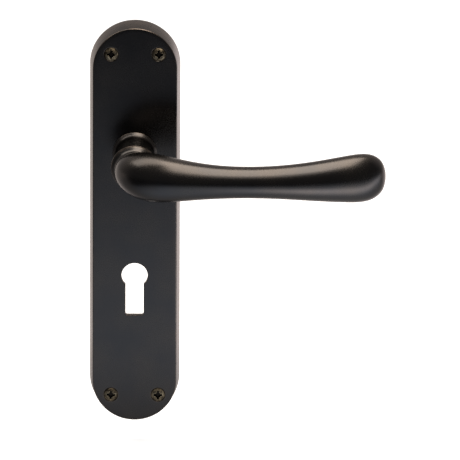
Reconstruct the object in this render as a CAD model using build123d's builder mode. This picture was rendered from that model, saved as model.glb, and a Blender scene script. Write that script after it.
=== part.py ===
from build123d import *

import os
from math import asin, cos, degrees, exp, radians, sin, sqrt

# Sprung lever handle on a long keyhole backplate, in millimetres.
#
# The origin is where the spindle's axis meets the door's face. +Z is up, the lever points to +X,
# the front looks to -Y and the spindle runs into the door along +Y. A height h is a distance out
# of the door, so door_face.offset(h) is the plane y = -h, with its own x along X and y along Z.
# Turned parts are drawn as half sections in the XY plane (radius, -h) and revolved about the Y axis.

os.makedirs("parts", exist_ok=True)

door_face = Plane.XZ

# ---- driving dimensions ----

# backplate, a zinc die casting that is hollow behind
plate_length = 185.0
plate_width = 40.0
plate_height = 9.5
plate_draft = 1.4  # how far the front face's outline stands inside the back's
plate_centre = -33.5  # height of the plate's middle relative to the spindle
plate_rim = 2.6
plate_web = 2.4
plate_edge_radius = 0.5
web_back = plate_height - plate_web

# fixing screws, through bosses that reach the door
fixing_spacing_x = 21.0
fixing_spacing_z = 158.5
fixing_hole_radius = 2.05
fixing_sink_radius = 3.3
fixing_boss_radius = 3.9
screw_shank_radius = 1.5
screw_thread_radius = 1.75
screw_thread_start = 1.0  # behind the door's face
screw_head_radius = 3.15
screw_dome = 0.85
screw_length = 25.0
screw_point = 5.0
recess_span = 3.9
recess_width = 0.95
recess_depth = 1.5
recess_draft = 14.0

# keyhole, 57 mm below the spindle
keyhole_centre = -57.0
keyhole_radius = 5.8
keyhole_slot = 8.0
keyhole_height = 24.2
keyhole_corner = 0.8

# neck collar, turned, staked behind the plate
collar_length = 21.8  # in front of the plate's face
collar_base_radius = 9.85
collar_base_height = 0.4
collar_rim_radius = 10.35
collar_rim_edge = 0.1
collar_rim_height = 1.0
collar_spigot_radius = 8.6
collar_bore_radius = 7.4
collar_stake_radius = 10.2
collar_stake = 0.8
collar_cove = (
    # radius, height above the door
    (10.3, 29.4),
    (9.5, 27.0),
    (8.75, 23.0),
    (8.3, 18.5),
    (8.15, 14.5),
    (8.2, 12.6),
    (8.55, 11.5),
    (9.1, 10.75),
    (9.75, 10.1),
)
counterbore_radius = 9.75
counterbore_depth = 2.0
collar_front = plate_height + collar_length
counterbore_floor = collar_front - counterbore_depth

# bearings
journal_radius = 6.9
running_clearance = 0.05
seat_gap = 0.02
ring_thickness = 0.8
bush_recess = 0.3  # how far the bush stands inside the collar's staked end
washer_clearance = 0.35
shoulder_play = 0.1

# lever: its centre line lies level, x along the door and d in front of the plate's face
shoulder_radius = 9.45
shoulder_flange = 10.1  # laps over the collar's end
shoulder_lift = 0.15
neck_waist = 24.4
neck_radius = 8.3
neck_flare = (
    # radius over the neck's own, distance in front of the collar's end
    (1.25, 0.75),
    (0.5, 1.5),
)
lever_stations = (
    # x, d, half height
    (0, neck_waist, neck_radius),
    (0.1, 26.1, 8.75),
    (1.2, 29.0, 9.75),
    (3.9, 32.2, 10.5),
    (10.0, 36.1, 10.7),
    (19.5, 38.9, 9.5),
    (33.0, 40.9, 7.8),
    (50.0, 41.5, 7.05),
    (66.0, 40.9, 7.65),
    (81.0, 39.0, 9.1),
    (92.0, 36.4, 10.35),
    (99.5, 34.2, 10.85),
    (105.0, 32.5, 9.8),
    (108.8, 31.8, 6.8),
    (110.3, 31.5, 3.4),
    (110.75, 31.4, 0),
)
lever_sections = 40
grip_depth = 0.91  # half depth of the section over its half height
bulb_depth = 0.73
bulb_start = 45.0
bulb_end = 100.0
journal_chamfer = 0.4

# spindle
spindle_side = 8.0
socket_side = 8.1
spindle_inner_end = 39.0
spindle_length = 108.0
spindle_chamfer = 0.5
grub_radius = 2.5
grub_length = 5.0
grub_height = 36.2
grub_key = 2.5  # across the flats of the hexagon socket
grub_key_depth = 2.0

# sprung drive behind the plate, as heights above the door
journal_end = 0.6
clip_back = 1.1
clip_thickness = 0.8
clip_groove_radius = 6.35
clip_radius = 8.6
clip_gap = 7.6
clip_eyelet_circle = 7.65
clip_eyelet_angle = 36.0  # either side of straight down
clip_eyelet_radius = 1.3
clip_eyelet_hole = 0.55
clip_groove_play = 0.05
clip_seat = clip_groove_radius + 0.03
cam_back = 2.0
cam_lug_thickness = 1.4
cam_front = 5.1
cam_hub_radius = 10.2
cam_lug_radius = 13.4
cam_lug_half_angle = 12.0
flat_half_width = 6.1
disc_back = 5.15
disc_front = 5.6
disc_thickness = 0.25
washer_back = 5.72
washer_front = web_back - collar_stake - 0.04
housing_back = 0.5
housing_floor = 0.9
housing_radius = 15.2
housing_wall = 1.0
housing_hole_radius = 9.6
ear_height = 3.5
ear_thickness = 1.0
ear_offset = 19.2
ear_radius = 3.6
boss_radius = 3.0
small_screw_radius = 1.25
small_head_radius = 2.3
small_head_height = 1.2
small_screw_end = 8.3
small_cross_span = 2.4
small_cross_width = 0.6
small_cross_depth = 0.8
small_hole_clearance = 0.15

# return spring and stops
turn_range = 45.0
wire_radius = 0.65
spring_radius = 11.9
spring_turns = 1.25
spring_front = 6.35
spring_back = 4.4
tang_end = 2.3
anchor_reach = 15.9
stop_clearance = 0.1
stop_radius = 1.2
stop_circle = 12.0
stop_top = 3.3

# ---- derived places ----

fixing_points = [
    (x * fixing_spacing_x / 2, plate_centre + z * fixing_spacing_z / 2)
    for z in (1, -1)
    for x in (-1, 1)
]
fixing_names = ["top_left", "top_right", "bottom_left", "bottom_right"]
ear_points = [(0, ear_offset), (0, -ear_offset)]

# angles about the spindle, from straight up and towards +X, the way the lever is pressed
lug_side_angle = cam_lug_half_angle
tang_angle = lug_side_angle + degrees(asin((wire_radius + stop_clearance) / spring_radius))
anchor_angle = tang_angle - 360 * spring_turns
stop_margin = cam_lug_half_angle + degrees(asin((stop_radius + stop_clearance) / stop_circle))


def around(radius, angle):
    """Point on a circle about the spindle, seen from the front, at an angle from straight up."""
    return (radius * sin(radians(angle)), radius * cos(radians(angle)))


def finish(builder, name):
    """Names the finished piece and writes its STEP file."""
    builder.part.label = name
    export_step(builder.part, f"parts/{name}.step")


# ---- backplate ----

plate_taper = degrees(asin(plate_draft / sqrt(plate_draft**2 + plate_height**2)))

with BuildPart() as backplate:
    with BuildSketch(door_face):
        with Locations((0, plate_centre)):
            SlotOverall(plate_length, plate_width, rotation=90)
    extrude(amount=plate_height, taper=plate_taper)
    fillet(backplate.faces().sort_by(Axis.Y)[0].edges(), radius=plate_edge_radius)
    with BuildSketch(door_face):
        with Locations((0, plate_centre)):
            SlotOverall(plate_length - 2 * plate_rim, plate_width - 2 * plate_rim, rotation=90)
        with Locations(*fixing_points):
            Circle(fixing_boss_radius, mode=Mode.SUBTRACT)
    extrude(amount=web_back, mode=Mode.SUBTRACT)
    with BuildSketch(door_face.offset(ear_height + ear_thickness)):
        with Locations(*ear_points):
            Circle(boss_radius)
    extrude(until=Until.NEXT)
    with BuildSketch(door_face):
        Circle(collar_spigot_radius + seat_gap)
    extrude(amount=plate_height, mode=Mode.SUBTRACT)
    with BuildSketch(door_face):
        with Locations(*ear_points):
            Circle(small_screw_radius + seat_gap)
    extrude(amount=small_screw_end + 0.2, mode=Mode.SUBTRACT)
    with BuildSketch(door_face) as keyhole:
        with Locations((0, keyhole_centre)):
            Circle(keyhole_radius)
        slot_bottom = keyhole_centre + keyhole_radius - keyhole_height
        with Locations((0, slot_bottom)):
            Rectangle(
                keyhole_slot, keyhole_height - keyhole_radius, align=(Align.CENTER, Align.MIN)
            )
        fillet(keyhole.vertices().group_by(Axis.Y)[0], radius=keyhole_corner)
    extrude(amount=plate_height, mode=Mode.SUBTRACT)
    with Locations(door_face.offset(plate_height)):
        with Locations(*fixing_points):
            CounterSinkHole(
                radius=fixing_hole_radius,
                counter_sink_radius=fixing_sink_radius,
                depth=plate_height,
                counter_sink_angle=90,
            )
finish(backplate, "backplate")

# ---- neck collar ----

with BuildPart() as neck_collar:
    with BuildSketch(Plane.XY):
        with BuildLine():
            Polyline(
                (collar_cove[-1][0], -collar_cove[-1][1]),
                (collar_base_radius, -plate_height - collar_base_height),
                (collar_base_radius, -plate_height),
                (collar_spigot_radius, -plate_height),
                (collar_spigot_radius, -web_back),
                (collar_stake_radius, -web_back),
                (collar_stake_radius - 0.4, -web_back + collar_stake),
                (collar_bore_radius, -web_back + collar_stake),
                (collar_bore_radius, -counterbore_floor),
                (counterbore_radius, -counterbore_floor),
                (counterbore_radius, -collar_front),
                (collar_rim_radius - collar_rim_edge, -collar_front),
                (collar_rim_radius, -collar_front + collar_rim_edge),
                (collar_rim_radius, -collar_front + collar_rim_height),
                (collar_cove[0][0], -collar_cove[0][1]),
            )
            Spline(*[(radius, -height) for radius, height in collar_cove])
        make_face()
    revolve(axis=Axis.Y)
finish(neck_collar, "neck_collar")

# ---- bearings in the collar ----

bush_back = web_back - collar_stake + bush_recess

with BuildPart() as neck_bush:
    with BuildSketch(door_face.offset(bush_back)):
        Circle(collar_bore_radius - seat_gap)
        Circle(journal_radius + running_clearance, mode=Mode.SUBTRACT)
    extrude(amount=counterbore_floor - seat_gap - bush_back)
finish(neck_bush, "neck_bush")

with BuildPart() as thrust_ring:
    with BuildSketch(door_face.offset(counterbore_floor + seat_gap)):
        Circle(counterbore_radius - seat_gap)
        Circle(journal_radius + washer_clearance, mode=Mode.SUBTRACT)
    extrude(amount=ring_thickness)
finish(thrust_ring, "thrust_ring")

# ---- lever ----

shoulder_back = counterbore_floor + seat_gap + ring_thickness + shoulder_play


def section_depth(x):
    """Half depth over half height: round at the neck, oval along the grip, flatter in the bulb."""
    way = min(1, max(0, (x - bulb_start) / (bulb_end - bulb_start)))
    flattening = (grip_depth - bulb_depth) * way**2 * (3 - 2 * way)
    return grip_depth - flattening + (1 - grip_depth) * exp(-x / 3)


def lever_plane(place):
    """Plane across the lever at a place from 0 to 1 along it, upright to the door at the tip."""
    x, d, _ = lever_line @ place
    dx, dd, _ = lever_line % place
    across = (0, -1, 0) if place == 0 else (dx, -dd * (1 - place**6), 0)
    return Plane(origin=(x, -plate_height - d, 0), x_dir=(0, 0, 1), z_dir=across)


# the lever's shape in one curve of x, d and half height
lever_line = Spline(*lever_stations)

with BuildPart() as lever:
    for i in range(lever_sections):
        place = i / (lever_sections - 0.6)
        x, _, half_height = lever_line @ place
        with BuildSketch(lever_plane(place)):
            if i == 0:
                Circle(neck_radius)
            else:
                Ellipse(half_height, half_height * section_depth(x))
    loft()
    with BuildSketch(Plane.XY):
        with BuildLine():
            Polyline(
                (neck_radius, -plate_height - neck_waist),
                (0, -plate_height - neck_waist),
                (0, -journal_end),
                (journal_radius - journal_chamfer, -journal_end),
                (journal_radius, -journal_end - journal_chamfer),
                (journal_radius, -shoulder_back),
                (shoulder_radius, -shoulder_back),
                (shoulder_radius, -collar_front - shoulder_lift),
                (shoulder_flange, -collar_front - shoulder_lift),
            )
            Spline(
                (shoulder_flange, -collar_front - shoulder_lift),
                *[(neck_radius + over, -collar_front - front) for over, front in neck_flare],
                (neck_radius, -plate_height - neck_waist),
            )
        make_face()
    revolve(axis=Axis.Y)
    # flats that drive the cam
    with BuildSketch(door_face.offset(journal_end)):
        for side in (-1, 1):
            with Locations((side * (flat_half_width + 5), 0)):
                Rectangle(10, 4 * journal_radius)
    extrude(amount=cam_front + 0.2 - journal_end, mode=Mode.SUBTRACT)
    # groove for the retaining clip
    with BuildSketch(door_face.offset(clip_back - clip_groove_play)):
        Circle(2 * journal_radius)
        Circle(clip_groove_radius, mode=Mode.SUBTRACT)
    extrude(amount=clip_thickness + 2 * clip_groove_play, mode=Mode.SUBTRACT)
    # square socket for the spindle
    with BuildSketch(door_face):
        Rectangle(socket_side, socket_side)
    extrude(amount=spindle_inner_end + 0.5, mode=Mode.SUBTRACT)
    # threaded hole for the grub screw, from below
    with BuildSketch(Plane(origin=(0, -grub_height, 0), x_dir=(1, 0, 0), z_dir=(0, 0, -1))):
        Circle(grub_radius + seat_gap)
    extrude(amount=2 * shoulder_radius, mode=Mode.SUBTRACT)
finish(lever, "lever")

# ---- spindle and its grub screw ----

with BuildPart() as spindle:
    with BuildSketch(door_face.offset(spindle_inner_end)):
        Rectangle(spindle_side, spindle_side)
    extrude(amount=-spindle_length)
    ends = spindle.faces().sort_by(Axis.Y)
    chamfer(ends[0].edges() + ends[-1].edges(), length=spindle_chamfer)
finish(spindle, "spindle")

with BuildPart() as grub_screw:
    grub_top = -spindle_side / 2 - 0.02
    with BuildSketch(Plane(origin=(0, -grub_height, grub_top), x_dir=(1, 0, 0), z_dir=(0, 0, -1))):
        Circle(grub_radius)
    extrude(amount=grub_length)
    chamfer(grub_screw.edges().filter_by(GeomType.CIRCLE), length=0.4)
    with BuildSketch(grub_screw.faces().sort_by(Axis.Z)[0]):
        RegularPolygon(grub_key / 2, 6, major_radius=False)
    extrude(amount=-grub_key_depth, mode=Mode.SUBTRACT)
finish(grub_screw, "grub_screw")

# ---- washers, cam and clip behind the plate ----

with BuildPart() as thrust_washer:
    with BuildSketch(door_face.offset(washer_back)):
        Circle(collar_stake_radius - 0.3)
        Circle(journal_radius + washer_clearance, mode=Mode.SUBTRACT)
    extrude(amount=washer_front - washer_back)
finish(thrust_washer, "thrust_washer")

with BuildPart() as disc_spring:
    with BuildSketch(Plane.XY):
        with BuildLine():
            Polyline(
                (journal_radius + 0.1, -disc_back),
                (journal_radius + 0.1, -disc_back - disc_thickness),
                (collar_stake_radius - 0.6, -disc_front),
                (collar_stake_radius - 0.6, -disc_front + disc_thickness),
                close=True,
            )
        make_face()
    revolve(axis=Axis.Y)
finish(disc_spring, "disc_spring")

with BuildPart() as drive_cam:
    with BuildSketch(door_face.offset(cam_back)):
        for middle in (0, 180):
            first = 90 - middle - cam_lug_half_angle
            with BuildLine():
                start = around(cam_lug_radius, middle + cam_lug_half_angle)
                end = around(cam_lug_radius, middle - cam_lug_half_angle)
                CenterArc((0, 0), cam_lug_radius, first, 2 * cam_lug_half_angle)
                Line((0, 0), start)
                Line(end, (0, 0))
            make_face()
        Circle(cam_hub_radius)
    extrude(amount=cam_lug_thickness)
    with BuildSketch(door_face.offset(cam_back)):
        Circle(cam_hub_radius)
    extrude(amount=cam_front - cam_back)
    with BuildSketch(door_face.offset(cam_back)):
        Circle(journal_radius + seat_gap)
        Rectangle(2 * (flat_half_width + seat_gap), 4 * journal_radius, mode=Mode.INTERSECT)
    extrude(amount=cam_front - cam_back, mode=Mode.SUBTRACT)
finish(drive_cam, "drive_cam")

with BuildPart() as retaining_clip:
    with BuildSketch(door_face.offset(clip_back)):
        Circle(clip_radius)
        Circle(clip_seat, mode=Mode.SUBTRACT)
        with Locations((0, -clip_radius)):
            Rectangle(clip_gap, 1.1 * clip_radius, mode=Mode.SUBTRACT)
        for side in (-1, 1):
            with Locations(around(clip_eyelet_circle, 180 + side * clip_eyelet_angle)):
                Circle(clip_eyelet_radius)
                Circle(clip_eyelet_hole, mode=Mode.SUBTRACT)
        Circle(clip_seat, mode=Mode.SUBTRACT)
    extrude(amount=clip_thickness)
finish(retaining_clip, "retaining_clip")

# ---- spring housing, its screws and the stops ----

with BuildPart() as spring_housing:
    with BuildSketch(door_face.offset(housing_back)):
        Circle(housing_radius)
    extrude(amount=web_back - housing_back)
    with BuildSketch(door_face.offset(ear_height)):
        SlotCenterToCenter(2 * ear_offset, 2 * ear_radius, rotation=90)
    extrude(amount=ear_thickness)
    with BuildSketch(door_face.offset(housing_back + housing_floor)):
        Circle(housing_radius - housing_wall)
    extrude(amount=web_back, mode=Mode.SUBTRACT)
    with BuildSketch(door_face):
        Circle(housing_hole_radius)
        with Locations(*ear_points):
            Circle(small_screw_radius + small_hole_clearance)
        for angle in (180 - stop_margin, 180 + stop_margin + turn_range):
            with Locations(around(stop_circle, angle)):
                Circle(stop_radius + seat_gap)
    extrude(amount=web_back, mode=Mode.SUBTRACT)
    # notch in the wall's front edge for the spring's anchor leg
    notch_width = 2 * wire_radius + 0.3
    notch_plane = Plane(
        origin=(0, -spring_front, 0),
        x_dir=(0, -1, 0),
        z_dir=(sin(radians(anchor_angle)), 0, cos(radians(anchor_angle))),
    )
    with BuildSketch(notch_plane):
        with Locations((1, 0)):
            Rectangle(2 * wire_radius + 2.3, notch_width)
    extrude(amount=2 * housing_radius, mode=Mode.SUBTRACT)
finish(spring_housing, "spring_housing")

for name, angle in (
    ("rest_stop", 180 - stop_margin),
    ("down_stop", 180 + stop_margin + turn_range),
):
    with BuildPart() as stop:
        with BuildSketch(door_face.offset(housing_back)):
            with Locations(around(stop_circle, angle)):
                Circle(stop_radius)
        extrude(amount=stop_top - housing_back)
        fillet(stop.edges().group_by(Axis.Y)[0], radius=0.3)
    finish(stop, name)

for name, (x, z) in zip(("housing_screw_upper", "housing_screw_lower"), ear_points):
    with BuildPart() as small_screw:
        with BuildSketch(door_face.offset(ear_height - small_head_height)):
            with Locations((x, z)):
                Circle(small_head_radius)
        extrude(amount=small_head_height - seat_gap)
        fillet(small_screw.edges().group_by(Axis.Y)[-1], radius=0.5)
        with BuildSketch(door_face.offset(ear_height - seat_gap)):
            with Locations((x, z)):
                Circle(small_screw_radius)
        extrude(amount=small_screw_end - ear_height)
        with BuildSketch(door_face.offset(ear_height - small_head_height)):
            with Locations((x, z)):
                Rectangle(small_cross_span, small_cross_width)
                Rectangle(small_cross_width, small_cross_span)
        extrude(amount=small_cross_depth, mode=Mode.SUBTRACT)
    finish(small_screw, name)

# ---- return spring: a torsion coil with an anchor leg and a driven tang ----

coil_rise = spring_front - spring_back
anchor_x, anchor_z = around(spring_radius, anchor_angle)
tang_x, tang_z = around(spring_radius, tang_angle)
anchor_end = Vector(anchor_x, -spring_front, anchor_z)
tang_start = Vector(tang_x, -spring_back, tang_z)
outwards = Vector(anchor_x, 0, anchor_z).normalized()
coil_start = Plane(origin=(0, -spring_front, 0), x_dir=outwards, z_dir=(0, 1, 0))
coil_pitch = coil_rise / spring_turns
coil = coil_start * Helix(pitch=coil_pitch, height=coil_rise, radius=spring_radius)

with BuildPart() as return_spring:
    with BuildSketch(Plane(origin=coil @ 0, z_dir=coil % 0)):
        Circle(wire_radius)
    sweep(path=coil, is_frenet=True)
    with BuildSketch(Plane(origin=anchor_end, z_dir=outwards)):
        Circle(wire_radius)
    extrude(amount=anchor_reach - spring_radius)
    with BuildSketch(Plane(origin=tang_start, z_dir=(0, 1, 0))):
        Circle(wire_radius)
    extrude(amount=spring_back - tang_end)
    with Locations(anchor_end, tang_start):
        Sphere(wire_radius)
finish(return_spring, "return_spring")

# ---- fixing screws: raised countersunk heads with a cross recess ----

head_seat = plate_height - 0.05
cone_end = head_seat - (screw_head_radius - screw_shank_radius)
screw_end = screw_length - plate_height
dome_radius = (screw_head_radius**2 + screw_dome**2) / (2 * screw_dome)
dome_half = dome_radius * sin(0.5 * asin(screw_head_radius / dome_radius))
dome_drop = dome_radius - sqrt(dome_radius**2 - dome_half**2)

for name, (x, z) in zip(fixing_names, fixing_points):
    with BuildPart() as fixing_screw:
        with BuildSketch(Plane(origin=(x, 0, z), x_dir=(1, 0, 0), z_dir=(0, 0, 1))):
            with BuildLine():
                ThreePointArc(
                    (0, -head_seat - screw_dome),
                    (dome_half, -head_seat - screw_dome + dome_drop),
                    (screw_head_radius, -head_seat),
                )
                Polyline(
                    (screw_head_radius, -head_seat),
                    (screw_shank_radius, -cone_end),
                    (screw_shank_radius, screw_thread_start),
                    (screw_thread_radius, screw_thread_start),
                    (screw_thread_radius, screw_end - screw_point),
                    (0.15, screw_end),
                    (0, screw_end),
                    (0, -head_seat - screw_dome),
                )
            make_face()
        revolve(axis=Axis((x, 0, z), (0, 1, 0)))
        with BuildSketch(door_face.offset(head_seat + screw_dome)):
            with Locations((x, z)):
                Rectangle(recess_span, recess_width)
                Rectangle(recess_width, recess_span)
                Rectangle(recess_span / 2, recess_span / 2, rotation=45)
        extrude(amount=-recess_depth, taper=recess_draft, mode=Mode.SUBTRACT)
    finish(fixing_screw, f"fixing_screw_{name}")
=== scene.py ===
from math import asin, cos, pi, radians, sin, sqrt, tan

import bmesh
import bpy
import numpy as np
from mathutils import Matrix, Vector
from mathutils.geometry import tessellate_polygon


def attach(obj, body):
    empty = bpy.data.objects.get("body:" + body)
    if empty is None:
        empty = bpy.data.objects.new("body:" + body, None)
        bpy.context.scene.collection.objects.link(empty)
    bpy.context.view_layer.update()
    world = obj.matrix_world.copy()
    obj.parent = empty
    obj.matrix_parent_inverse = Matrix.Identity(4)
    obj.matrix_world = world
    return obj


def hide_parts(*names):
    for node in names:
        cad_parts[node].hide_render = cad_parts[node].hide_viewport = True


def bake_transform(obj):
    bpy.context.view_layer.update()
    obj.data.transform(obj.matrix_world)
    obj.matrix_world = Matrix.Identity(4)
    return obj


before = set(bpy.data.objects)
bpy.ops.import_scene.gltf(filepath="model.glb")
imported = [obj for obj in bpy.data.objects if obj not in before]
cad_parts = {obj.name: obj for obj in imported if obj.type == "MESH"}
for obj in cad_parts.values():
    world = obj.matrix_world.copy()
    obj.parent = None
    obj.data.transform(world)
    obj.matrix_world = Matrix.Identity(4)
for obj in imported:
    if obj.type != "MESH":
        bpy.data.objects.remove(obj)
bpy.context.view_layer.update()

# ---- backplate ----
# Long round-ended zinc die casting, hollow behind, with bosses for the fixing screws and a keyhole.
# It is drafted so that it leaves the die, its front edge is eased, and it has a satin bronze-black finish.

mm = 0.001
plate_half_width = 20.0
plate_arc_centres = (39.0, -106.0)
plate_draft = 1.4
plate_height = 9.5
plate_rim = 2.6
web_back = 7.1
edge_ease = 0.5
back_ease = 0.2
hole_ease = 0.25
spigot_hole = 8.62
fixing_points = [(x, z) for z in (45.75, -112.75) for x in (-10.5, 10.5)]
fixing_boss = 3.9
fixing_hole = 2.05
fixing_sink = 3.3
ear_points = [(0, 19.2), (0, -19.2)]
ear_boss = 3.0
ear_boss_back = 4.5
ear_hole = 1.27
ear_hole_end = 8.5
keyhole_centre = -57.0
keyhole_radius = 5.8
keyhole_half_slot = 4.0
keyhole_bottom = -75.4
keyhole_corner = 0.8


def rounded(corners, radii, steps=6):
    """Line through corners, each turned into an arc that touches both its sides: the arc's points
    lie evenly between its two touching points, seen from the circle's centre."""
    corners = np.array(corners, float)
    parts = [corners[:1]]
    for before, corner, after, radius in zip(corners, corners[1:], corners[2:], radii):
        if radius == 0:
            parts.append(corner[None])
            continue
        back = (before - corner) / np.linalg.norm(before - corner)
        ahead = (after - corner) / np.linalg.norm(after - corner)
        half = np.arccos(back @ ahead) / 2
        centre = corner + (back + ahead) / np.linalg.norm(back + ahead) * radius / sin(half)
        start = corner + back * radius / tan(half) - centre
        end = corner + ahead * radius / tan(half) - centre
        way = np.linspace(0, 1, steps)[:, None]
        turn = pi - 2 * half
        arc = (np.sin((1 - way) * turn) * start + np.sin(way * turn) * end) / sin(turn)
        parts.append(centre + arc)
    parts.append(corners[-1:])
    return np.concatenate(parts)


def turned(profile, columns=64, centre=(0, 0)):
    """Turned surface: every (radius, height) of the profile goes once round an axis that stands
    square to the door, so x = radius sin a, z = radius cos a, and height is measured out of the door."""
    angle = np.arange(columns) * 2 * pi / columns
    radius, height = np.array(profile, float).T[:, :, None]
    return np.stack(
        [centre[0] + radius * np.sin(angle), -height + 0 * angle, centre[1] + radius * np.cos(angle)], -1
    )


def skin(name, grids, flats=(), sharp=32, merge=0.0005):
    """One closed piece from grids of points in mm (rows, columns, xyz) whose columns close on
    themselves, and flat faces, each a list of loops: its outline and then its holes."""
    points, faces, count = [], [], 0
    for grid in grids:
        rows, columns = grid.shape[:2]
        index = count + np.arange(rows * columns).reshape(rows, columns)
        beside = np.roll(index, -1, axis=1)
        faces += np.stack([index[:-1], beside[:-1], beside[1:], index[1:]], -1).reshape(-1, 4).tolist()
        points.append(grid.reshape(-1, 3))
        count += rows * columns
    curved = len(faces)
    for loops in flats:
        corners = np.array(tessellate_polygon([[Vector(p) for p in loop] for loop in loops]))
        faces += (corners + count).tolist()
        points += loops
        count += sum(len(loop) for loop in loops)
    mesh = bpy.data.meshes.new(name)
    mesh.from_pydata(np.concatenate(points).tolist(), [], faces)
    mesh.polygons.foreach_set("use_smooth", np.arange(len(faces)) < curved)
    work = bmesh.new()
    work.from_mesh(mesh)
    bmesh.ops.remove_doubles(work, verts=work.verts, dist=merge)
    bmesh.ops.dissolve_degenerate(work, dist=merge / 10, edges=work.edges)
    bmesh.ops.recalc_face_normals(work, faces=work.faces)
    work.to_mesh(mesh)
    work.free()
    mesh.transform(Matrix.Scale(mm, 4))
    rounded_faces = np.zeros(len(mesh.polygons), bool)
    mesh.polygons.foreach_get("use_smooth", rounded_faces)
    mesh.set_sharp_from_angle(angle=radians(sharp))
    mesh.polygons.foreach_set("use_smooth", rounded_faces)
    piece = bpy.data.objects.new(name, mesh)
    bpy.context.scene.collection.objects.link(piece)
    mark_edges(mesh)
    return piece


def mark_edges(mesh):
    """Stores how sharply the surface turns outwards at each vertex, as an attribute from 0 to 1:
    the mean over its edges of the normals' change along the edge over its length, in 1/m. Flat
    faces, which reach from edge to edge, have none."""
    count = len(mesh.vertices)
    place, normal = np.zeros(count * 3), np.zeros(count * 3)
    ends = np.zeros(len(mesh.edges) * 2, int)
    mesh.vertices.foreach_get("co", place)
    mesh.vertices.foreach_get("normal", normal)
    mesh.edges.foreach_get("vertices", ends)
    place, normal = place.reshape(-1, 3), normal.reshape(-1, 3)
    a, b = ends.reshape(-1, 2).T
    along = place[a] - place[b]
    bend = ((normal[a] - normal[b]) * along).sum(1) / np.maximum((along**2).sum(1), 1e-12)
    total = np.bincount(a, bend, count) + np.bincount(b, bend, count)
    edges = np.maximum(np.bincount(a, minlength=count) + np.bincount(b, minlength=count), 1)
    wear = np.clip((total / edges - 350) / 900, 0, 1)
    for face in mesh.polygons:
        if not face.use_smooth:
            wear[face.vertices] = 0
    mesh.attributes.new("wear", "FLOAT", "POINT").data.foreach_set("value", wear.astype(np.float32))


# the outline's own middle line and outward direction: two half circles and two straights
arc = np.linspace(0, pi, 64)
straight = np.linspace(*plate_arc_centres, 40)[1:-1]
plate_outward = np.concatenate([
    np.stack([np.cos(arc), np.sin(arc)], -1),
    np.repeat([[-1.0, 0.0]], len(straight), 0),
    np.stack([-np.cos(arc), -np.sin(arc)], -1),
    np.repeat([[1.0, 0.0]], len(straight), 0),
])
plate_middle = np.concatenate([
    np.full(len(arc), plate_arc_centres[0]),
    straight,
    np.full(len(arc), plate_arc_centres[1]),
    straight[::-1],
])


def plate_ring(inset, height):
    """The outline drawn in by an inset, at a height above the door."""
    across = plate_outward * (plate_half_width - inset)
    return np.stack([across[:, 0], np.full(len(across), -height), plate_middle + across[:, 1]], -1)


plate_profile = rounded(
    [
        (plate_rim, web_back),
        (plate_rim, 0),
        (0, 0),
        (plate_draft, plate_height),
        (plate_draft + 2, plate_height),
    ],
    (back_ease, back_ease, edge_ease),
    8,
)
plate_walls = np.stack([plate_ring(inset, height) for inset, height in plate_profile])

# keyhole: the round, then the slot's sides and its eased bottom corners
slot_turn = pi - asin(keyhole_half_slot / keyhole_radius)
round_part = np.linspace(-slot_turn, slot_turn, 57)
keyhole_line = np.concatenate([
    np.stack(
        [keyhole_radius * np.sin(round_part), keyhole_centre + keyhole_radius * np.cos(round_part)], -1
    ),
    rounded(
        [
            (keyhole_half_slot, keyhole_centre - 6),
            (keyhole_half_slot, keyhole_bottom),
            (-keyhole_half_slot, keyhole_bottom),
            (-keyhole_half_slot, keyhole_centre - 6),
        ],
        (keyhole_corner, keyhole_corner),
        7,
    ),
])
side = keyhole_line - np.roll(keyhole_line, 1, 0)
side /= np.linalg.norm(side, axis=1)[:, None]
outward = np.stack([-side[:, 1], side[:, 0]], -1)
outward = outward + np.roll(outward, -1, 0)
outward *= 2 / (outward**2).sum(1)[:, None]


def keyhole_ring(ease, height):
    """The keyhole's outline widened by an ease, at a height above the door."""
    line = keyhole_line + outward * ease
    return np.stack([line[:, 0], np.full(len(line), -height), line[:, 1]], -1)


turn = np.linspace(0, pi / 2, 5)
keyhole_walls = np.stack(
    [keyhole_ring(hole_ease * (1 - sin(t)), plate_height - hole_ease * (1 - cos(t))) for t in turn]
    + [keyhole_ring(0, web_back)]
)

seat_depth = fixing_sink - fixing_hole
seats = [
    turned(
        rounded(
            [
                (fixing_sink + 0.5, plate_height),
                (fixing_sink, plate_height),
                (fixing_hole, plate_height - seat_depth),
                (fixing_hole, 0),
                (fixing_boss, 0),
                (fixing_boss, web_back),
            ],
            (hole_ease, 0, back_ease, back_ease),
            5,
        ),
        64,
        point,
    )
    for point in fixing_points
]
ears = [
    turned(
        [
            (0, ear_hole_end),
            (ear_hole, ear_hole_end),
            (ear_hole, ear_boss_back),
            (ear_boss, ear_boss_back),
            (ear_boss, web_back),
        ],
        32,
        point,
    )
    for point in ear_points
]
spigot_wall = turned([(spigot_hole, plate_height), (spigot_hole, web_back)], 96)
front_face = [plate_walls[-1], spigot_wall[0], keyhole_walls[0]] + [seat[0] for seat in seats]
web_face = [plate_walls[0], spigot_wall[-1], keyhole_walls[-1]] + [hole[-1] for hole in seats + ears]
backplate = skin(
    "backplate_casting",
    [plate_walls, keyhole_walls, spigot_wall] + seats + ears,
    [front_face, web_face],
)


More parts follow.
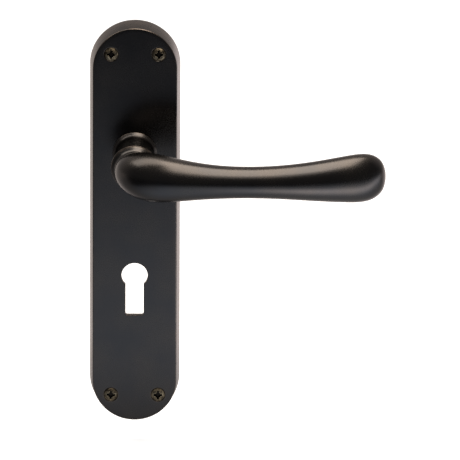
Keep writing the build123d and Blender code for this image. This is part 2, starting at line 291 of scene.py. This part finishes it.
class Value:
    """A shader socket that takes Python's operators: an expression on it adds its Math nodes."""

    def __init__(self, finish, socket):
        self.finish = finish
        self.socket = socket

    def math(self, operation, first, second=0.0, clamp=False):
        settings = {"operation": operation, "use_clamp": clamp}
        return self.finish.node("ShaderNodeMath", settings, {0: first, 1: second})

    def __add__(self, other):
        return self.math("ADD", self, other)

    def __sub__(self, other):
        return self.math("SUBTRACT", self, other)

    def __rsub__(self, other):
        return self.math("SUBTRACT", other, self)

    def __mul__(self, other):
        return self.math("MULTIPLY", self, other)

    def __truediv__(self, other):
        return self.math("DIVIDE", self, other)

    def __rtruediv__(self, other):
        return self.math("DIVIDE", other, self)

    def __pow__(self, other):
        return self.math("POWER", self, other)

    __radd__ = __add__
    __rmul__ = __mul__

    def between(self, low, high):
        """0 below low, 1 above high, and even in between."""
        return self.math("MULTIPLY", self - low, 1 / (high - low), clamp=True)


class Finish:
    """A material whose surface is one Principled shader."""

    def __init__(self, name, **constants):
        self.material = bpy.data.materials.new(name)
        self.material.use_nodes = True
        self.tree = self.material.node_tree
        self.shader = self.tree.nodes["Principled BSDF"]
        for socket, value in constants.items():
            self.set(socket.replace("_", " "), value)

    def node(self, kind, settings=None, sockets=None, output=0):
        """Adds a node: its settings first, then the values or links of its sockets."""
        made = self.tree.nodes.new(kind)
        for key, value in (settings or {}).items():
            if key == "stops":
                ramp = made.color_ramp
                while len(ramp.elements) < len(value):
                    ramp.elements.new(1)
                for element, (position, colour) in zip(ramp.elements, value):
                    element.position = position
                    element.color = (*colour, 1)
            else:
                setattr(made, key, value)
        for key, value in (sockets or {}).items():
            self.join(made.inputs[key], value)
        return Value(self, made.outputs[output])

    def join(self, socket, value):
        if isinstance(value, Value):
            self.tree.links.new(value.socket, socket)
        elif isinstance(value, tuple) and len(socket.default_value) == 4:
            socket.default_value = (*value, 1)
        else:
            socket.default_value = value

    def set(self, socket, value):
        self.join(self.shader.inputs[socket], value)

    def place(self):
        return self.node("ShaderNodeTexCoord", output="Object")

    def noise(self, place, scale, detail=2.0, roughness=0.5, distortion=0.0):
        sockets = {
            "Vector": place,
            "Scale": scale,
            "Detail": detail,
            "Roughness": roughness,
            "Distortion": distortion,
        }
        return self.node("ShaderNodeTexNoise", {"noise_dimensions": "3D"}, sockets)

    def stretched(self, place, scale):
        """The place scaled along each axis, so that a pattern runs along the axis of least scale."""
        return self.node("ShaderNodeMapping", {"vector_type": "POINT"}, {"Vector": place, "Scale": scale})

    def mix(self, share, first, second):
        """A colour between two others, by a share from 0 to 1."""
        settings = {"data_type": "RGBA", "blend_type": "MIX"}
        return self.node("ShaderNodeMix", settings, {0: share, 6: first, 7: second}, 2)

    def bump(self, height, strength, distance):
        sockets = {"Height": height, "Strength": strength, "Distance": distance}
        self.set("Normal", self.node("ShaderNodeBump", None, sockets))

    def attribute(self, name):
        return self.node("ShaderNodeAttribute", {"attribute_name": name}, None, "Fac")


def bronzed(name, lines=None):
    """Satin bronze-black finish: near black with a brown cast in soft clouds, an even fine grain,
    a little rubbed brown along the edges, and where lines are given, the last polish's fine lines."""
    finish = Finish(name, Metallic=1.0)
    place = finish.place()
    clouds = finish.noise(place, 55, 3).between(0.35, 0.65)
    grain = finish.noise(place, 3200, 2)
    specks = finish.noise(place, 900, 2).between(0.3, 0.7)
    wear = finish.attribute("wear") * finish.noise(place, 260, 3).between(0.25, 0.7)
    colour = finish.mix(clouds, (0.040, 0.039, 0.039), (0.049, 0.045, 0.042))
    finish.set("Base Color", finish.mix(wear * 0.6, colour, (0.15, 0.12, 0.095)))
    height = grain + specks * 0.4
    rough = 0.24 + clouds * 0.025 + specks * 0.025
    if lines is not None:
        scratch = finish.noise(finish.stretched(place, lines), 1, 3)
        height = height + scratch * 1.5
        rough = rough + scratch.between(0.4, 0.6) * 0.03
    finish.set("Roughness", rough + wear * 0.05)
    finish.bump(height, 0.06, 0.00001)
    return finish.material


plate_bronze = bronzed("bronzed_casting")


def dress(piece, material, slot, body, *nodes):
    """Gives a new piece its material and tells the frame what it rides on and stands for."""
    piece.data.materials.append(material)
    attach(piece, body)
    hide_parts(*nodes)


dress(backplate, plate_bronze, "bronzed_metal", "plate", "backplate")

# ---- neck collar ----
# Turned brass collar that stands out of the plate and flares to a thin lip around the lever's shoulder.
# Its spigot goes through the plate and is staked over behind. Turning leaves fine rings round it.

collar_front = 31.3
collar_base = 9.83
collar_rim = 10.33
collar_bore = 7.42
counterbore = (9.75, 29.3)
cove = [
    # radius, height above the door
    (10.28, 29.4),
    (9.5, 27.0),
    (8.75, 23.0),
    (8.3, 18.5),
    (8.15, 14.5),
    (8.2, 13.0),
    (8.45, 11.95),
    (8.9, 11.15),
    (9.65, 10.35),
]


def smooth_curve(stations, places):
    """Natural cubic spline through stations, whose parameter is the length of the straight line
    through them: each span's second derivative runs evenly from one station's to the next's."""
    stations = np.array(stations, float)
    length = np.append(0, np.linalg.norm(np.diff(stations, axis=0), axis=1).cumsum())
    span = np.diff(length)[:, None]
    slope = np.diff(stations, axis=0) / span
    matrix = np.eye(len(stations))
    inner = np.arange(1, len(stations) - 1)
    matrix[inner, inner - 1] = span[:-1, 0]
    matrix[inner, inner] = 2 * (span[:-1, 0] + span[1:, 0])
    matrix[inner, inner + 1] = span[1:, 0]
    bend = np.zeros_like(stations)
    bend[inner] = 6 * np.diff(slope, axis=0)
    bend = np.linalg.solve(matrix, bend)
    where = places * length[-1]
    k = np.clip(np.searchsorted(length, where, side="right") - 1, 0, len(span) - 1)
    s, h = (where - length[k])[:, None], span[k]
    rise = slope[k] - h * (2 * bend[k] + bend[k + 1]) / 6
    return stations[k] + s * (rise + s * (bend[k] / 2 + s * (bend[k + 1] - bend[k]) / (6 * h)))


collar_lip = rounded(
    [
        (collar_bore, counterbore[1]),
        counterbore,
        (counterbore[0], collar_front),
        (collar_rim, collar_front),
        (collar_rim, 30.3),
        cove[0],
    ],
    (0, 0.12, 0.25, 0.3),
    6,
)
collar_foot = rounded(
    [
        cove[-1],
        (collar_base, 10.15),
        (collar_base, 9.52),
        (8.6, 9.52),
        (8.6, web_back),
        (10.2, web_back - 0.01),
        (9.8, 6.3),
        (collar_bore, 6.3),
        (collar_bore, counterbore[1]),
    ],
    (0.06, 0.02, 0, 0, 0.2, 0.2, 0.1),
    4,
)
cove_line = smooth_curve(cove, np.linspace(0, 1, 60))
collar_profile = np.concatenate([collar_lip[:-1], cove_line, collar_foot[1:]])
collar = skin("neck_collar_turned", [turned(collar_profile, 128)])
# rings: the pattern is squeezed along the axis and changes slowly round it
dress(collar, bronzed("bronzed_turning", (60, 2600, 60)), "bronzed_metal", "plate", "neck_collar")

# ---- bush and thrust ring ----
# Nylon sleeve in the collar and nylon ring behind the lever's shoulder: the lever turns in them.
# They are moulded and pressed into place, and show only as a pale edge in the gap.


def keep(node, material):
    """Gives a CAD node a finish in place of its plain one."""
    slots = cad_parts[node].data.materials
    slots.clear()
    slots.append(material)


nylon = Finish("moulded_nylon", IOR=1.53, Subsurface_Weight=0.1, Subsurface_Scale=0.001)
place = nylon.place()
flow = nylon.noise(place, 180, 3)
nylon.set("Base Color", nylon.mix(flow, (0.66, 0.64, 0.58), (0.72, 0.70, 0.65)))
nylon.set("Roughness", 0.42 + flow * 0.12)
nylon.bump(nylon.noise(place, 2500, 2), 0.1, 0.00001)
keep("neck_bush", nylon.material)
keep("thrust_ring", nylon.material)

# ---- lever ----
# One forging, bronzed and rubbed: a journal that turns in the collar, a shoulder and a waisted neck,
# an elbow, an oval grip that swells to a flatter rounded end. A square socket takes the spindle.

lever_stations = [
    # x, distance in front of the plate's face, half height
    (0, 22.05, 10.07),
    (0, 22.6, 9.5),
    (0, 23.35, 8.75),
    (0, 24.4, 8.3),
    (0.1, 26.1, 8.75),
    (1.2, 29.0, 9.75),
    (3.9, 32.2, 10.5),
    (10.0, 36.1, 10.7),
    (19.5, 38.9, 9.5),
    (33.0, 40.9, 7.8),
    (50.0, 41.5, 7.05),
    (66.0, 40.9, 7.65),
    (81.0, 39.0, 9.1),
    (92.0, 36.4, 10.35),
    (99.5, 34.2, 10.83),
    (105.0, 32.5, 9.8),
    (108.8, 31.8, 6.8),
    (110.25, 31.5, 3.4),
    (110.65, 31.4, 0),
]
mirrored = [(x, d, -half) for x, d, half in lever_stations[-2:-6:-1]]
grip_depth = 0.905
bulb_depth = 0.725
bulb_start = 45.0
bulb_end = 100.0
lever_rows = 190
lever_columns = 112
column = np.arange(lever_columns) * 2 * pi / lever_columns
up, over = np.cos(column), np.sin(column)

steps = np.linspace(0, 1, 1200)
curve = smooth_curve(lever_stations + mirrored, steps)
tip = int(np.argmax(curve[:, 2] < 0))
length = np.append(0, np.linalg.norm(np.diff(curve[:tip], axis=0), axis=1).cumsum())
even = np.linspace(0, length[-1], lever_rows)
line = np.stack([np.interp(even, length, part) for part in curve[:tip].T], -1)
line[-1, 2] = 0
x, d, half_height = line.T
share = np.clip((x - bulb_start) / (bulb_end - bulb_start), 0, 1)
flattening = (grip_depth - bulb_depth) * share**2 * (3 - 2 * share)
depth = grip_depth - flattening + (1 - grip_depth) * np.exp(-x / 3)
half_depth = half_height * depth

# each section stands square to the middle line, and upright to the door at the tip
along_x = np.gradient(x)
along_y = -np.gradient(d) * (1 - (even / length[-1]) ** 6)
slant = np.hypot(along_x, along_y)
aside_x, aside_y = -along_y / slant, along_x / slant
body = np.stack(
    [
        x[:, None] + (half_depth * aside_x)[:, None] * over,
        (-plate_height - d)[:, None] + (half_depth * aside_y)[:, None] * over,
        half_height[:, None] * up,
    ],
    -1,
)


def ring(radius, height, limit=99.0):
    """Ring of the journal: a circle whose sides are cut flat at a limit."""
    return np.stack(
        [np.clip(radius * over, -limit, limit), np.full(lever_columns, -height), radius * up], -1
    )


def square(half, height):
    """Square ring: the circle's directions, drawn out to the sides of a square."""
    reach = half / np.maximum(abs(up), abs(over))
    return np.stack([reach * over, np.full(lever_columns, -height), reach * up], -1)


flat = 6.1
flats_end = 5.3
socket_half = 4.05
socket_end = 39.5
journal_radius = 6.9
clip_groove = 6.35
groove_back = 1.05
groove_front = 1.95
shoulder_back = 30.22
flange_back = 31.46
journal = np.stack([
    ring(0, socket_end),
    square(socket_half, socket_end),
    square(socket_half, 1.0),
    square(socket_half + 0.4, 0.6),
    ring(journal_radius - 0.4, 0.6, flat),
    ring(journal_radius, 1.0, flat),
    ring(journal_radius, groove_back, flat),
    ring(clip_groove, groove_back, flat),
    ring(clip_groove, groove_front, flat),
    ring(journal_radius, groove_front, flat),
    ring(journal_radius, flats_end, flat),
    ring(journal_radius, flats_end),
    ring(journal_radius, shoulder_back),
    ring(9.3, shoulder_back),
    ring(9.4, shoulder_back + 0.04),
    ring(9.43, shoulder_back + 0.14),
    ring(9.43, flange_back),
    ring(9.98, flange_back),
    ring(10.06, flange_back + 0.04),
])
lever = skin("lever_forging", [np.concatenate([journal, body])])

# the grub screw's threaded hole is drilled up into the neck from below
grub_height = 36.2
drill_profile = np.array([(0, 3.9), (2.52, 3.9), (2.52, 12.0), (0, 12.0)])
radius, low = drill_profile.T[:, :, None]
drill = skin(
    "drill",
    [np.stack([radius * over[::2], -grub_height + radius * up[::2], -low + 0 * over[::2]], -1)],
)
drilling = lever.modifiers.new("drilling", "BOOLEAN")
drilling.object = drill
drilling.operation = "DIFFERENCE"
drilling.solver = "EXACT"
drilled = bpy.data.meshes.new_from_object(lever.evaluated_get(bpy.context.evaluated_depsgraph_get()))
lever.modifiers.clear()
lever.data = drilled
bpy.data.objects.remove(drill)
lever_bronze = bronzed("bronzed_forging")
lever.data.materials.clear()
dress(lever, lever_bronze, "bronzed_metal", "handle", "lever")

# ---- spindle ----
# Drawn 8 mm square steel bar, chamfered at both ends and zinc plated: it runs from the lever's socket
# through the lock's follower. The plating is dull and cloudy with a trace of blue and yellow.

spindle_half = 4.0
spindle_ends = (-69.0, 39.0)
spindle_corner = 0.35


def bar_ring(half, height):
    """Square ring with eased corners: the point of a square moved in where it leaves a circle."""
    reach = np.minimum(half / np.maximum(abs(up), abs(over)), half * sqrt(2) - spindle_corner)
    return np.stack([reach * over, np.full(lever_columns, -height), reach * up], -1)


spindle = skin(
    "spindle_bar",
    [
        np.stack([
            bar_ring(0, spindle_ends[1]),
            bar_ring(spindle_half - 0.55, spindle_ends[1]),
            bar_ring(spindle_half - 0.02, spindle_ends[1] - 0.5),
            bar_ring(spindle_half - 0.02, spindle_ends[0] + 0.5),
            bar_ring(spindle_half - 0.55, spindle_ends[0]),
            bar_ring(0, spindle_ends[0]),
        ])
    ],
    sharp=20,
)


def plated(name, lines=None):
    """Zinc plate: a bright grey metal in soft blue and yellow clouds, with a fine crystal grain."""
    finish = Finish(name, Metallic=1.0)
    place = finish.place()
    clouds = finish.noise(place, 70, 4, 0.6, 0.6)
    crystals = finish.noise(place, 1400, 2)
    blue_grey = finish.mix(clouds.between(0.35, 0.65), (0.50, 0.53, 0.58), (0.62, 0.61, 0.57))
    finish.set("Base Color", finish.mix(crystals.between(0.45, 0.75) * 0.5, blue_grey, (0.42, 0.43, 0.44)))
    height = crystals
    if lines is not None:
        height = height + finish.noise(finish.stretched(place, lines), 1, 3) * 2
    finish.set("Roughness", 0.30 + clouds * 0.14)
    finish.bump(height, 0.2, 0.00001)
    return finish.material


dress(spindle, plated("plated_bar", (2400, 30, 2400)), "zinc_plated_steel", "handle", "spindle")

# ---- grub screw, washers, cam and clip ----
# Black hexagon socket screw under the neck; behind the plate a plain washer, a conical spring washer,
# the pressed cam on the lever's flats and an external circlip that holds the lever in the plate.

black_oxide = Finish("black_oxide_steel", Metallic=1.0)
place = black_oxide.place()
patches = black_oxide.noise(place, 420, 3)
black_oxide.set("Base Color", black_oxide.mix(patches, (0.035, 0.035, 0.038), (0.085, 0.08, 0.078)))
black_oxide.set("Roughness", 0.34 + patches * 0.2)
black_oxide.bump(black_oxide.noise(place, 3000, 2), 0.25, 0.00001)
keep("grub_screw", black_oxide.material)

spring_steel = Finish("oiled_spring_steel", Metallic=1.0)
place = spring_steel.place()
heat = spring_steel.noise(place, 160, 3)
stops = [(0.3, (0.20, 0.19, 0.19)), (0.5, (0.27, 0.24, 0.21)), (0.7, (0.16, 0.17, 0.20))]
spring_steel.set("Base Color", spring_steel.node("ShaderNodeValToRGB", {"stops": stops}, {0: heat}))
spring_steel.set("Roughness", 0.26 + heat * 0.2)
spring_steel.bump(spring_steel.noise(place, 2600, 2), 0.2, 0.00001)
keep("disc_spring", spring_steel.material)
keep("retaining_clip", spring_steel.material)

pressed_zinc = plated("plated_pressing")
keep("thrust_washer", pressed_zinc)
keep("drive_cam", pressed_zinc)

# ---- spring housing, its stops and screws ----
# Pressed steel cup behind the plate that holds the return spring, with two riveted studs that stop the
# cam's lower lug, and two ears under small cross-recess screws. All of it is zinc plated.

keep("spring_housing", pressed_zinc)
for node in ("rest_stop", "down_stop", "housing_screw_upper", "housing_screw_lower"):
    keep(node, pressed_zinc)

# ---- return spring ----
# Torsion coil of spring steel wire round the cam's hub: its anchor leg lies in a notch of the housing,
# and its tang is pushed by the cam's upper lug when the lever goes down.

wire_radius = 0.64
coil_radius = 11.9
coil_front = 6.35
coil_back = 4.4
tang_angle = radians(15.61)
anchor_angle = tang_angle - 2.5 * pi
anchor_reach = 15.9
tang_end = 2.3


def helix(share):
    """The coil's middle line: it turns evenly and comes back towards the door as it goes."""
    angle = anchor_angle + (tang_angle - anchor_angle) * share
    height = coil_front + (coil_back - coil_front) * share
    return np.stack([coil_radius * np.sin(angle), -height, coil_radius * np.cos(angle)], -1)


first, last = helix(np.array([0.0, 1.0]))
reach = anchor_reach / coil_radius
outer_end = first * (reach, 1, reach)
inner_end = np.array([last[0], -tang_end, last[2]])
coil_share = np.linspace(0.02, 0.985, 220)
coil = helix(coil_share)
anchor_leg = rounded([outer_end, first, coil[0]], (0.5,), 10)
tang_leg = rounded([coil[-1], last, inner_end], (0.4,), 10)
wire = np.concatenate([anchor_leg[:-1], coil, tang_leg[1:]])


def tube(line, radius, columns):
    """Round wire along a line, closed at its ends: a circle square to the line at every point,
    turned so that it never twists against a direction between the axis and the way out."""
    ahead = np.gradient(line, axis=0)
    ahead /= np.linalg.norm(ahead, axis=1)[:, None]
    out = line * (1, 0, 1)
    guide = out / np.linalg.norm(out, axis=1)[:, None] + (0, 1, 0)
    aside = np.cross(ahead, guide)
    aside /= np.linalg.norm(aside, axis=1)[:, None]
    upward = np.cross(aside, ahead)
    angle = np.arange(columns) * 2 * pi / columns
    rings = line[:, None] + radius * (
        np.cos(angle)[:, None] * aside[:, None] + np.sin(angle)[:, None] * upward[:, None]
    )
    ends = np.repeat(line[[0, -1], None], columns, 1)
    return np.concatenate([ends[:1], rings, ends[1:]])


def points_of(piece):
    """A piece's vertices in mm."""
    points = np.zeros(len(piece.data.vertices) * 3)
    piece.data.vertices.foreach_get("co", points)
    return points.reshape(-1, 3) / mm


spring = skin("return_spring_wire", [tube(wire, wire_radius, 20)])
spring.data.materials.append(spring_steel.material)
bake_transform(spring)
# for each point of the wire's surface, the nearest point on its middle line
nearest = np.concatenate([
    ((part[:, None] - wire[None]) ** 2).sum(-1).argmin(1)
    for part in np.array_split(points_of(spring), 20)
])
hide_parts("return_spring")

# ---- fixing screws ----
# Raised countersunk wood screws with a cross recess, antique finished: brassy where the dome is rubbed.
# The recess is near black, partly for its oxide and partly as painted shade, and a ring of painted shade
# lies round the head, in its gap with the seat. They run through the bosses into the door.

head_radius = 3.08
head_dome = 0.82
head_fall = 2.6
head_seat = 9.45
recess_half_span = 1.95
recess_half_width = 0.55
recess_core = 1.75
recess_depth = 1.3
shank_radius = 1.5
thread_root = 1.22
thread_crest = 1.74
thread_pitch = 1.4
thread_start = -1.0
screw_tip = -15.5
screw_point = 5.0
screw_columns = 120
# painted shade on the screws: how deep into the recess it darkens, and where the ring round the head's
# edge begins and how fast it rises
dark_depth = 0.4
cross_share = 0.85
edge_rise = 12
edge_start = 10.9 / edge_rise


def dome(share):
    """Height of the screw's dome, which falls with a power of the share of its radius."""
    return head_seat + head_dome * (1 - share**head_fall)


def head_surface(twist):
    """The dome on a polar grid with a cross sunk in it: the cross's depth follows the distance
    inside the nearest of two bars and a middle diamond."""
    angle = np.arange(screw_columns) * 2 * pi / screw_columns
    radius = np.linspace(0, head_radius, 80)[:, None]
    height = dome(radius / head_radius) + 0 * angle
    u, v = abs(radius * np.sin(angle)), abs(radius * np.cos(angle))
    bars = [
        np.minimum(recess_half_width - a, recess_half_span - b) for a, b in ((u, v), (v, u))
    ]
    inside = np.maximum(np.maximum(*bars), (recess_core - u - v) / sqrt(2))
    height = height - recess_depth * np.clip(inside / 0.34, 0, 1) ** 0.8
    return np.stack([radius * np.sin(angle + twist), -height, radius * np.cos(angle + twist)], -1)


def thread_surface():
    """Wood screw thread: between its root and crest the radius follows how far the height is from
    the helix, and both shrink towards the point."""
    angle = np.arange(screw_columns)[::3] * 2 * pi / screw_columns
    height = np.linspace(thread_start, screw_tip, 190)[:, None]
    phase = (height / thread_pitch + angle / (2 * pi)) % 1
    ridge = np.clip(1 - abs(phase - 0.5) * 3.2, 0, 1)
    taper = np.clip((height - screw_tip) / screw_point, 0, 1)
    fade = np.clip((thread_start - height) / 1.5, 0, 1)
    root = shank_radius + (thread_root - shank_radius) * fade
    radius = (root + (thread_crest - root) * ridge * fade) * taper
    return np.stack([radius * np.sin(angle), -height + 0 * angle, radius * np.cos(angle)], -1)


antique = Finish("antique_brass_screw", Metallic=1.0)
place = antique.place()
tarnish = antique.noise(place, 900, 4, 0.6)
rubbed = (antique.attribute("wear") * 0.6 + tarnish.between(0.35, 0.7) * 0.7).between(0.15, 0.85)
brass = antique.mix(rubbed, (0.06, 0.05, 0.035), (0.36, 0.30, 0.20))
# the sunk attribute paints the recess near black, partly for its oxide and partly as shade, and paints
# shade round the head
antique.set("Base Color", antique.mix(antique.attribute("sunk"), brass, (0.014, 0.012, 0.01)))
antique.set("Roughness", 0.30 + tarnish * 0.22)
antique.bump(tarnish, 0.3, 0.00002)

cone = turned(
    rounded(
        [
            (head_radius, head_seat),
            (head_radius + 0.02, head_seat - 0.08),
            (shank_radius, head_seat - head_radius + shank_radius - 0.1),
            (shank_radius, thread_start),
        ],
        (0.05, 0.5),
        5,
    ),
    screw_columns,
)
names = ("top_left", "top_right", "bottom_left", "bottom_right")
twists = (0.06, -0.05, 0.09, 0.03)
for name, twist, (px, pz) in zip(names, twists, fixing_points):
    at = np.array([px, 0, pz])
    thread = thread_surface()
    neck = cone[-1:, ::3]
    screw = skin(
        f"fixing_screw_{name}_turned",
        [
            head_surface(twist) + at,
            cone + at,
            np.concatenate([neck, thread, thread[-1:] * (0, 1, 0)]) + at,
        ],
        sharp=38,
    )
    # painted shade: dark where the surface lies under the dome, that is in the recess (where it is partly
    # the oxide) and on the cone in the seat, and from the head's edge outwards, for the gap round the head
    x, y, z = (points_of(screw) - at).T
    out = np.minimum(np.hypot(x, z) / head_radius, 1)
    in_cross = np.clip((dome(out) + y) / dark_depth, 0, 1)
    seat_gap_shade = np.clip((out - edge_start) * edge_rise, 0, 1)
    sunk = np.where(out < cross_share, in_cross, seat_gap_shade) * (y < recess_depth - head_seat)
    layer = screw.data.attributes.new("sunk", "FLOAT", "POINT")
    layer.data.foreach_set("value", sunk.astype(np.float32))
    dress(screw, antique.material, "antique_screw", "plate", f"fixing_screw_{name}")

# ---- studio ----
# Plain white floor, soft lights overhead, and a card just under the floor that only reflections see,
# with what the floor gives back. The room is dim in front and paler behind, and white to the camera.

floor_height = -0.136


def level_card(name, half, height, **seen):
    """Level square stage piece at a height, seen only by the kinds of ray that aren't turned off."""
    corners = [(x * half, y * half, height) for x, y in ((-1, -1), (1, -1), (1, 1), (-1, 1))]
    mesh = bpy.data.meshes.new(name)
    mesh.from_pydata(corners, [], [(0, 1, 2, 3)])
    made = bpy.data.objects.new(name, mesh)
    bpy.context.scene.collection.objects.link(made)
    for ray, value in seen.items():
        setattr(made, "visible_" + ray, value)
    return made


floor_size = 6.0
floor = level_card("floor", floor_size, floor_height, glossy=False)
paper = Finish("white_paper", Base_Color=(0.86, 0.86, 0.86), Roughness=0.9)
paper.set("Emission Color", (0.92, 0.97, 1.0))
paper.set("Emission Strength", 0.62)
floor.data.materials.append(paper.material)

# what the floor gives back to the metal, painted into the card's glow: dark far out in front, a cold white
# nearer, a painted shade of grey under the plate, and a warm white behind
hidden = {"camera": False, "diffuse": False, "shadow": False}
floor_gap = 0.001
mirror_floor = level_card("floor_reflection", floor_size, floor_height - floor_gap, **hidden)
glow = Finish("floor_glow", Base_Color=(0.0, 0.0, 0.0), Roughness=1.0)
depth_way = glow.node("ShaderNodeSeparateXYZ", None, {0: glow.place()}, 1)
side_way = glow.node("ShaderNodeSeparateXYZ", None, {0: glow.place()}, 0)
in_front = depth_way.between(-0.58, -0.26) * side_way.between(-0.26, -0.04)
under = depth_way.between(-0.12, -0.02)
behind = depth_way.between(0.02, 0.14)
front_light = glow.mix(in_front, (0.05, 0.05, 0.055), (1.03, 1.11, 1.26))
below = glow.mix(side_way.between(0.01, 0.09), (0.44, 0.41, 0.40), (0.80, 0.76, 0.75))
under_light = glow.mix(under, front_light, below)
back_light = glow.mix(side_way.between(-0.2, 0.2), (0.80, 0.70, 0.64), (1.35, 1.18, 1.14))
# a painted pool of light in the card's glow, to the right, in front of the grip
pool = depth_way.between(-0.28, -0.20) * (1 - depth_way.between(-0.17, -0.10))
pool = pool * side_way.between(0.035, 0.10)
floor_light = glow.mix(behind, under_light, back_light)
glow.set("Emission Color", glow.mix(pool, floor_light, (4.6, 4.4, 4.5)))
glow.set("Emission Strength", 1.0)
mirror_floor.data.materials.append(glow.material)


def softbox(name, place, aim, size, radiance, colour):
    """Area light at a place, facing an aim, whose surface has a given radiance."""
    light = bpy.data.lights.new(name, "AREA")
    light.shape = "RECTANGLE"
    light.size, light.size_y = size
    light.energy = radiance * pi * size[0] * size[1]
    light.color = colour
    made = bpy.data.objects.new(name, light)
    made.location = place
    made.rotation_euler = (Vector(aim) - Vector(place)).to_track_quat("-Z", "Y").to_euler()
    made.visible_camera = False
    bpy.context.scene.collection.objects.link(made)
    return made


ceiling = 0.62
softbox("overhead", (0.13, -0.17, ceiling), (0.13, -0.17, 0), (0.34, 0.70), 8.2, (1.0, 0.89, 0.78))
softbox("overhead_left", (-0.39, 0.08, ceiling), (-0.39, 0.08, 0), (0.70, 0.40), 4.4, (1.0, 0.91, 0.82))
softbox("overhead_front", (0.13, -0.65, ceiling), (0.13, -0.65, 0), (0.34, 0.26), 2.2, (1.0, 0.9, 0.8))

world = bpy.data.worlds.new("room")
bpy.context.scene.world = world
world.use_nodes = True


class Room(Finish):
    """The world's own node tree, with the same way of adding nodes."""

    def __init__(self, world):
        self.tree = world.node_tree
        self.shader = self.tree.nodes["Background"]


room = Room(world)
direction = room.node("ShaderNodeTexCoord", output="Generated")
back = room.node("ShaderNodeSeparateXYZ", None, {0: direction}, 1)
aside = room.node("ShaderNodeSeparateXYZ", None, {0: direction}, 0)
wall = room.mix(aside.between(-1, 1), (0.58, 0.52, 0.48), (0.82, 0.73, 0.69))
lit = room.mix(back.between(-0.15, 0.5), (0.14, 0.135, 0.135), wall)
seen = room.node("ShaderNodeLightPath", output="Is Camera Ray")
room.set("Color", room.mix(seen, lit, (1.0, 1.0, 1.0)))

# ---- camera ----
# Long lens, straight in front and 18 degrees up, with the plate left of the middle.

elevation = radians(18)
frame_width = 0.2035
forward = Vector((0, cos(elevation), -sin(elevation)))
upward = Vector((0, sin(elevation), cos(elevation)))
rightward = Vector((1, 0, 0))
middle_right = 0.04225
middle_down = 0.0337
middle = Vector((0, -plate_height * mm, 0)) + middle_right * rightward - middle_down * upward
camera_data = bpy.data.cameras.new("camera")
camera_distance = 5.0
sensor_width = 36
camera_tilt = 0.27
camera_data.lens = sensor_width * camera_distance / frame_width
camera_data.sensor_width = sensor_width
camera_data.clip_end = 50
camera = bpy.data.objects.new("camera", camera_data)
camera.location = middle - camera_distance * forward
roll = Matrix.Rotation(radians(camera_tilt), 4, "Z")
camera.rotation_euler = (forward.to_track_quat("-Z", "Y").to_matrix().to_4x4() @ roll).to_euler()
bpy.context.scene.collection.objects.link(camera)
bpy.context.scene.camera = camera
bpy.context.scene.view_settings.view_transform = "Standard"
